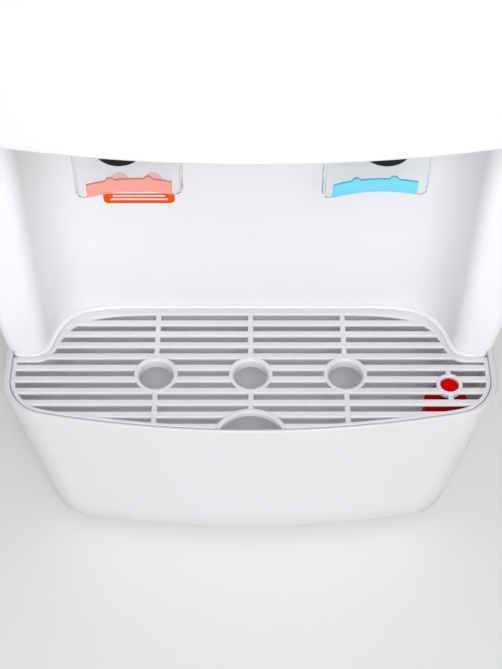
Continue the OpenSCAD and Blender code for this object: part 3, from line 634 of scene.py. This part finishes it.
def top_cover():
    outer = [(LID_Z + 0.1, 0.7), (LID_Z + 0.5, 0.15), (LID_Z + 1.2, 0)]
    for k in range(9):
        a = math.radians(90 * k / 8)
        outer.append((LID_TOP - 6 + 6 * math.sin(a), 6 - 6 * math.cos(a)))
    shell = [ring(lid_outline(t), z) for z, t in outer]
    inner = [ring(lid_outline(t), z) for z, t in
             [(LID_TOP - WALL, 9), (LID_TOP - 7, 5), (LID_Z + 2, WALL), (LID_Z + 0.1, WALL)]]
    verts, faces = loft(inner + shell, "none")
    count = len(shell[0])
    angles = [math.atan2(p.y - TANK_Y, p.x) for p in shell[-1]]
    for base, z in ((0, LID_TOP - WALL), (len(inner + shell) * count - count, LID_TOP)):
        start = len(verts)
        verts += [Vector((SEAT_R * math.cos(a), TANK_Y + SEAT_R * math.sin(a), z)) for a in angles]
        for i in range(count):
            j = (i + 1) % count
            quad = (base + i, base + j, start + j, start + i)
            faces.append(quad)
    first, second = len(verts) - 2 * count, len(verts) - count
    for i in range(count):
        j = (i + 1) % count
        faces.append((first + i, first + j, second + j, second + i))
    piece = make_piece("top_cover_shell", verts, faces)
    return finish_piece(piece, WHITE, "dispenser", "white_gloss", "top_cover")


def bottle_seat():
    r, z = SEAT_R, TOP_Z
    profile = [(r + 8, LID_TOP), (r + 8, z), (r - 4, z), (r - 19, z - 22), (70, z - 34), (40, z - 38),
               (17, z - 38), (17, z - 32), (12.1, z - 32), (12.1, z - 41), (40, z - 41), (71, z - 37),
               (r - 17, z - 25), (r - 3, LID_TOP - 4), (r - 0.5, LID_TOP - 4), (r - 0.5, LID_TOP)]
    radii = [0.3, 1.8, 4, 12, 20, 4, 3, 1.5, 1, 0.4, 4, 20, 10, 1, 0.5, 0.2]
    piece = make_piece("bottle_seat_shell", *lathe(rounded(profile, radii, 6), (0, TANK_Y, 0), 128))
    return finish_piece(piece, WHITE, "seat", "white_gloss", "bottle_seat")


# ---------------------------------------------------------------- tray, grille and float
def drip_tray():
    outer = [(TRAY_Z, 2.2), (TRAY_Z + 0.6, 0.7), (TRAY_Z + 2, 0), (TRAY_TOP - 0.6, 0), (TRAY_TOP, 0.5)]
    inner = [(TRAY_TOP, 1.5), (TRAY_TOP - 0.6, 2), (TRAY_Z + 7, 2), (TRAY_Z + 4, 2.9), (TRAY_Z + 2.5, 4.6),
             (TRAY_Z + 2, 7)]
    rings = [ring(tray_outline(z, TRAY_IN + t, COVE_IN + t), z) for z, t in outer + inner]
    post = [(0.01, TRAY_Z + 1), (2.5, TRAY_Z + 1), (2.5, TRAY_Z + 15), (0.01, TRAY_Z + 15)]
    guide = lathe(rounded(post, [0, 0, 0.8, 0], 4), (FLOAT_X, FLOAT_Y, 0), 32)
    piece = make_piece("drip_tray_shell", *join_parts([loft(rings), guide]))
    return finish_piece(piece, TRAY, "tray", "tray_grey", "drip_tray")


def crossing(path, y):
    """The largest x at which the path crosses depth y."""
    hits = []
    for a, b in zip(path, path[1:]):
        if (a.y - y) * (b.y - y) <= 0 and a.y != b.y:
            hits.append(a.x + (b.x - a.x) * (y - a.y) / (b.y - a.y))
    return max(hits)


def blocks(y, with_stub):
    """Solid stretches along x at depth y: the ribs, the cup rings, the notch ring and the float ring."""
    found = []
    for k in (-1, 0, 1):
        reach = RIB_W / 2
        if abs(y - ROW_Y) < CUP_R - RING_LAP:
            reach = max(reach, math.sqrt((CUP_R - RING_LAP) ** 2 - (y - ROW_Y) ** 2))
        if k == 0 and y - NOTCH_Y < NOTCH_R + NOTCH_BAND:
            reach = max(reach, math.sqrt((NOTCH_R + NOTCH_BAND) ** 2 - (y - NOTCH_Y) ** 2))
        found.append((k * CUP_PITCH - reach, k * CUP_PITCH + reach))
    if with_stub:
        reach = RIB_W / 2
        if abs(y - FLOAT_Y) < FLOAT_RING_R - FLOAT_LAP:
            reach = max(reach, math.sqrt((FLOAT_RING_R - FLOAT_LAP) ** 2 - (y - FLOAT_Y) ** 2))
        found.append((FLOAT_X - reach, FLOAT_X + reach))
    return found


def slots():
    """Every opening between the bars as a closed contour, stopping at ribs, rings and the frame."""
    contours = []
    edge = opening()
    step_y = SHOULDER_Y - OPENING_STEP
    for k in range(SLOT_N):
        y0 = FIRST_SLOT_Y - SLOT_PITCH * k
        y1 = min(y0 + SLOT_W, edge[-1].y - 0.02)
        rows = steps(y0, y1, 8)
        if y0 < step_y < y1:
            rows = sorted(rows + [step_y - 0.01, step_y + 0.01])
        limits = [crossing(edge, y) for y in rows]
        stub = abs((y0 + y1) / 2 - FLOAT_Y) < 12
        for cell in range(len(blocks(y0, stub)) + 1):
            left, right = [], []
            for y, limit in zip(rows, limits):
                edges = [-limit] + [e for b in blocks(y, stub) for e in b] + [limit]
                left.append(Vector((max(edges[2 * cell], -limit), y)))
                right.append(Vector((min(edges[2 * cell + 1], limit), y)))
            contour = trimmed(left, right)
            if contour:
                contours.append(contour)
    return contours


def trimmed(left, right):
    """A contour from its left and right sides, without the rows where it closes, and with rounded corners."""
    rows = [(a, b) for a, b in zip(left, right) if b.x - a.x > LEAST_SLOT]
    if len(rows) < 3:
        return None
    points = [b for _, b in rows] + [a for a, _ in reversed(rows)]
    radii = [0.0] * len(points)
    for i in (0, len(rows) - 1, len(rows), len(points) - 1):
        radii[i] = SLOT_CORNER
    return rounded(points, radii, 4)


def cup_ring(x):
    """A ring with a wide round brim and a deep bore, where a cup stands."""
    top, inner_r, outer_r = RIM_Z + PROUD, 2.25, 0.5
    path = [Vector((CUP_R, RIM_Z - BAR_T))] + arc((CUP_R - outer_r, top - outer_r), outer_r, 0, 90, 5)
    path += arc((CUP_HOLE_R + inner_r, top - inner_r), inner_r, 90, 180, 9)
    path += [Vector((CUP_HOLE_R, RIM_Z - CUP_DEEP)), Vector((CUP_HOLE_R + 1.6, RIM_Z - CUP_DEEP))]
    return lathe(path, (x, ROW_Y, 0), 96)


def front_edge(x):
    """The depth of the grille's front edge at x."""
    radius = BOW_R - TRAY_IN
    return FRONT_Y + BOW_R - math.sqrt(radius**2 - x * x)


def grille_outline(inset):
    """The grille's edge moved inwards, with the finger notch cut from its front."""
    notch = [p for p in arc((0, NOTCH_Y), NOTCH_R + inset, 90, 0, 60) if p.y > front_edge(p.x) + inset]
    frame_half = tray_half(RIM_Z, TRAY_IN + inset, COVE_IN - GAP + COVE_SLIT + inset)
    return closed(notch + [p for p in frame_half if p.x > notch[-1].x + 0.3 or p.y > ROW_Y])


def drip_grille():
    edge = DECK_EDGE
    holes = [arc((k * CUP_PITCH, ROW_Y), CUP_HOLE_R + 0.6 + edge, 0, 360 - 7.5, 47) for k in (-1, 0, 1)]
    holes.append(arc((FLOAT_X, FLOAT_Y), FLOAT_HOLE_R + 0.3 + edge, 0, 360 - 9, 39))
    holes += [moved(slot, -edge, True) for slot in slots()]
    deck = cut_plate(grille_outline(edge), holes, RIM_Z - BAR_T, RIM_Z, edge)
    skirt_out, skirt_in = grille_outline(0.4), moved(grille_outline(0.4), 1.2, True)
    skirt = loft([ring(skirt_out, TRAY_TOP), ring(skirt_out, RIM_Z - BAR_T + 0.3),
                  ring(skirt_in, RIM_Z - BAR_T + 0.3), ring(skirt_in, TRAY_TOP)], "loop")
    top = RIM_Z + 0.3
    small = [(FLOAT_RING_R, RIM_Z - BAR_T), (FLOAT_RING_R, top), (FLOAT_HOLE_R, top),
             (FLOAT_HOLE_R, TRAY_TOP), (FLOAT_RING_R, TRAY_TOP)]
    float_ring = lathe(rounded(small, [0.2, 0.6, 0.8, 0.3, 0.3], 5), (FLOAT_X, FLOAT_Y, 0), 64)
    parts = [deck, skirt, float_ring, notch_ring()] + [cup_ring(k * CUP_PITCH) for k in (-1, 0, 1)]
    piece = make_piece("drip_grille_top", *join_parts(parts), sharp=38)
    return finish_piece(piece, GRILLE, "grille", "grille_white", "drip_grille")


def notch_ring():
    """The raised band round the finger notch, cut off where the grille's front edge is."""
    inner, outer = NOTCH_R, NOTCH_R + NOTCH_BAND
    reach = math.degrees(math.acos((front_edge(16) + 0.8 - NOTCH_Y) / outer))
    corners = [(inner, TRAY_TOP), (outer, TRAY_TOP), (outer, RIM_Z + PROUD), (inner, RIM_Z + PROUD)]
    section = rounded(corners, [0.3, 0.3, 0.7, 0.9], 5)
    rings = []
    for a in steps(90 + reach, 90 - reach, 36):
        rings.append([Vector((0, NOTCH_Y, h)) + point(a, r).to_3d() for r, h in section])
    return loft(rings)


def overflow_float():
    z0, top = low("overflow_float").z, high("overflow_float").z
    z1, bore = z0 + 21, z0 + 15
    profile = [(2.8, z0), (13.5, z0), (13.5, z1), (5.2, z1), (5.2, top), (0.01, top),
               (0.01, bore), (2.8, bore)]
    path = rounded(profile, [0.3, 1.5, 2.2, 0.8, 0.9, 0, 0, 0.2], 6)
    piece = make_piece("overflow_float_body", *lathe(path, (FLOAT_X, FLOAT_Y, 0), 72))
    return finish_piece(piece, RED, "float", "float_red", "overflow_float")


# ---------------------------------------------------------------- taps
def nozzle(side, x):
    h = ROOF_Z - NOZZLE_Z
    profile = [(5, 5), (8.5, 0), (12.5, 0), (12.5, h - 6), (14, h - 4.5), (14, h),
               (9.05, h), (9.05, h - 8.5), (5, h - 10)]
    path = rounded(profile, [1.5, 1.2, 1.6, 1.5, 1.2, 0.5, 0.2, 0.2, 0.8], 6)
    piece = make_piece(side + "_nozzle_shell", *lathe(path, (x, TAP_Y, NOZZLE_Z), 80))
    return finish_piece(piece, BLACK, "dispenser", "black_plastic", side + "_nozzle")


def sheet(outline_points, thickness, edge, place):
    """A thin plate with matched columns: place(x, z, depth) puts each point of its outline in space."""
    rows = [(0.0, edge), (edge * 0.3, edge * 0.3), (edge, 0.0), (thickness - edge, 0.0),
            (thickness - edge * 0.3, edge * 0.3), (thickness, edge)]
    verts, count = [], len(outline_points)
    for depth, inset in rows:
        verts += [place(p.x, p.y, depth) for p in moved(outline_points, inset, True)]
    faces = skin(count, len(rows))
    for base in (0, (len(rows) - 1) * count):
        for i in range(count // 2 - 1):
            faces.append((base + i, base + i + 1, base + count - 2 - i, base + count - 1 - i))
    return verts, faces


def curved_sheet(outline_points, radius, thickness, x, edge):
    """A sheet bent about an upright axis in front of the lever, and turned with the lever."""
    def place(px, pz, depth):
        angle, r = px / radius, radius + depth
        across, back = r * math.sin(angle), r * math.cos(angle) - LEVER_R
        c, s = math.cos(LEVER_TURN), math.sin(LEVER_TURN)
        return Vector((x + across * c - back * s, LEVER_Y + across * s + back * c, pz))
    return sheet(outline_points, thickness, edge, place)


def sheet_outline(width, z0, z1, corner, top_corner=0.0, columns=14):
    """A closed outline, left to right along the bottom and back along the top, with matching columns."""
    half = width / 2
    bottom = arc((-half + corner, z0 + corner), corner, 180, 270, 6)
    bottom += [Vector((p, z0)) for p in steps(-half + corner, half - corner, columns)[1:-1]]
    bottom += arc((half - corner, z0 + corner), corner, 270, 360, 6)
    top = []
    for p in bottom:
        drop = max(abs(p.x) - (half - top_corner), 0)
        sink = top_corner - math.sqrt(max(top_corner**2 - drop**2, 0)) if top_corner else 0
        top.append(Vector((p.x, z1 - sink)))
    return bottom + list(reversed(top))


def lever(side, x):
    parts = [curved_sheet(sheet_outline(LEVER_W, LEVER_Z, LEVER_TOP, 5), LEVER_R, LEVER_T, x, 0.7)]
    rear, y, z = LEVER_Y + 0.9, PIVOT.y, PIVOT.z
    leg = [(y - 4, z), (y - 2.9, z - 2.9), (y, z - 4), (rear - 11, z - 4), (rear - 7, z - 8),
           (rear - 7, LEVER_TOP - 5), (rear - 4, LEVER_TOP - 15), (rear, LEVER_TOP - 15),
           (rear, z), (rear - 3, z + 4), (y, z + 4), (y - 2.9, z + 2.9)]
    for s in (-1, 1):
        rows = [(0, 0.5), (0.5, 0), (2.5, 0), (3, 0.5)]
        rings = []
        for depth, inset in rows:
            path = moved([Vector(p) for p in leg], inset, True)
            rings.append([Vector((x + s * (LEG_X + depth), p.x, p.y)) for p in path])
        parts.append(loft(rings))
        peg = [(0.01, 3.4), (2.2, 3.4), (2.2, LEG_X + 0.5), (0.01, LEG_X + 0.5)]
        verts, faces = lathe(rounded(peg, [0, 0.5, 0, 0], 3), (0, 0, 0), 24)
        parts.append(([Vector((x + s * v.z, TAP_Y + v.x, PIVOT.z + 0.3 + v.y)) for v in verts], faces))
    piece = make_piece(side + "_lever_plate", *join_parts(parts), sharp=40)
    return finish_piece(piece, CLEAR, side + "_lever_body", "clear_plastic", side + "_lever")


def strip_outline():
    """A level strip with two bumps along its top, with matching columns."""
    half = STRIP_W / 2
    bottom = [Vector((p, STRIP_Z)) for p in steps(-half, half, 72)]
    top = []
    for p in bottom:
        z = STRIP_Z + STRIP_H
        for centre in (-BUMP_X, BUMP_X):
            away = abs(p.x - centre)
            if away < BUMP_R:
                z = max(z, STRIP_Z + STRIP_H - BUMP_SINK + math.sqrt(BUMP_R**2 - away**2))
        top.append(Vector((p.x, z)))
    return bottom + list(reversed(top))


def lever_strip(side, x, material):
    face = curved_sheet(strip_outline(), LEVER_R - STRIP_T, STRIP_T, x, 0.4)
    piece = make_piece(side + "_lever_strip_face", *face, sharp=40)
    return finish_piece(piece, material, side + "_lever_body", side + "_strip", side + "_lever_strip")


# ---------------------------------------------------------------- the label on the back wall
def wall_y(x):
    """The depth of the back wall at x."""
    wall = cove()
    for a, b in zip(wall, wall[1:]):
        if a.x <= abs(x) <= b.x:
            return a.y + (b.y - a.y) * (abs(x) - a.x) / (b.x - a.x)
    return ALCOVE_Y


def on_wall(width, height, x, z, proud, low_corner, top_corner):
    """A thin plate that follows the back wall."""
    def place(px, pz, depth):
        return Vector((x + px, wall_y(x + px) - depth, z + pz))
    shape = sheet_outline(width, -height / 2, height / 2, low_corner, top_corner, max(4, round(width / 2)))
    return sheet(shape, proud, 0.05, place)


def warning_label():
    lo, hi = low("warning_label"), high("warning_label")
    x, width = (lo.x + hi.x) / 2, hi.x - lo.x
    band_h = 15.0
    upper = hi.z - lo.z - band_h
    orange = on_wall(width, band_h, x, lo.z + band_h / 2, 0.25, 3, 0.05)
    finish_piece(make_piece("label_band", *orange), ORANGE, "dispenser", "label", "warning_label")
    white = on_wall(width, upper, x, lo.z + band_h + upper / 2, 0.25, 0.05, 3)
    finish_piece(make_piece("label_field", *white), PAPER, "dispenser", "white_gloss")
    lines = [on_wall(w, 1.2, x, lo.z + 3.4 + 2.7 * k, 0.4, 0.3, 0.3) for k, w in enumerate((33, 30, 33))]
    finish_piece(make_piece("label_lines", *join_parts(lines)), PAPER, "dispenser", "white_gloss")
    marks = [on_wall(11, 11, x + s * 10, lo.z + band_h + 12, 0.35, 5.4, 5.4) for s in (-1, 1)]
    finish_piece(make_piece("label_marks", *join_parts(marks)), PINK, "dispenser", "hot_strip")


# ---------------------------------------------------------------- camera, floor and light
def aim(obj, target):
    direction = Vector(target) - obj.location
    obj.rotation_euler = direction.to_track_quat("-Z", "Y").to_euler()


def make_camera():
    """Above and in front of the tray, looking down at it, a little to its left."""
    aside, back, height, pitch, roll, lens = -5.0, 446.3, 652.0, 51.45, -0.363, 72.27
    data = bpy.data.cameras.new("camera")
    data.lens = lens
    data.sensor_width = 36
    camera = bpy.data.objects.new("camera", data)
    camera.location = Vector((aside, FRONT_Y - back, RIM_Z + height)) * MM
    tilt = Euler((math.radians(90 - pitch), 0, 0)).to_matrix() @ Matrix.Rotation(math.radians(roll), 3, "Y")
    camera.rotation_euler = tilt.to_euler()
    data.clip_start, data.clip_end = 0.01, 20
    bpy.context.scene.collection.objects.link(camera)
    bpy.context.scene.camera = camera


def make_floor():
    size = 6.0  # metres from the middle to each side
    corners = [(-size, -size, 0), (size, -size, 0), (size, size, 0), (-size, size, 0)]
    mesh = bpy.data.meshes.new("floor")
    mesh.from_pydata(corners, [], [(0, 1, 2, 3)])
    floor = bpy.data.objects.new("floor", mesh)
    bpy.context.scene.collection.objects.link(floor)
    material, tree, shader = new_material("floor", (0.9, 0.9, 0.9), 0.8)
    vary(tree, shader, "Base Color", 3, (0.89, 0.89, 0.89), (0.9, 0.9, 0.9))
    mesh.materials.append(material)


def softbox(name, place, target, size, power):
    """A rectangular light aimed at its target, in metres and watts."""
    data = bpy.data.lights.new(name, "AREA")
    data.shape = "RECTANGLE"
    data.size, data.size_y = size
    data.energy = power
    light = bpy.data.objects.new(name, data)
    light.location = place
    bpy.context.scene.collection.objects.link(light)
    aim(light, target)


def make_light():
    world = bpy.data.worlds.new("studio")
    world.use_nodes = True
    background = world.node_tree.nodes["Background"]
    background.inputs["Color"].default_value = (0.985, 0.99, 1.0, 1)
    background.inputs["Strength"].default_value = 0.25
    bpy.context.scene.world = world
    softbox("front", (0, -2.6, 1.1), (0, -0.1, 0.2), (2.0, 1.2), 29)
    softbox("key", (0.1, -1.5, 1.9), (0, -0.05, 0.2), (0.9, 0.9), 23)
    softbox("right", (2.0, -1.2, 1.3), (0, -0.05, 0.2), (1.2, 1.2), 3)
    view = bpy.context.scene.view_settings
    view.view_transform = "Standard"
    view.exposure = 0.0


make_camera()
make_floor()
make_light()
for material, names in CAD_MATERIALS.items():
    for name in names:
        dress(name, material)
base_housing()
dispensing_panel()
head_cover()
side_panel(1)
side_panel(-1)
top_cover()
bottle_seat()
drip_tray()
drip_grille()
overflow_float()
for side, x, shade in (("hot", -TAP_X, HOT), ("cold", TAP_X, COLD)):
    nozzle(side, x)
    lever(side, x)
    lever_strip(side, x, shade)
warning_label()
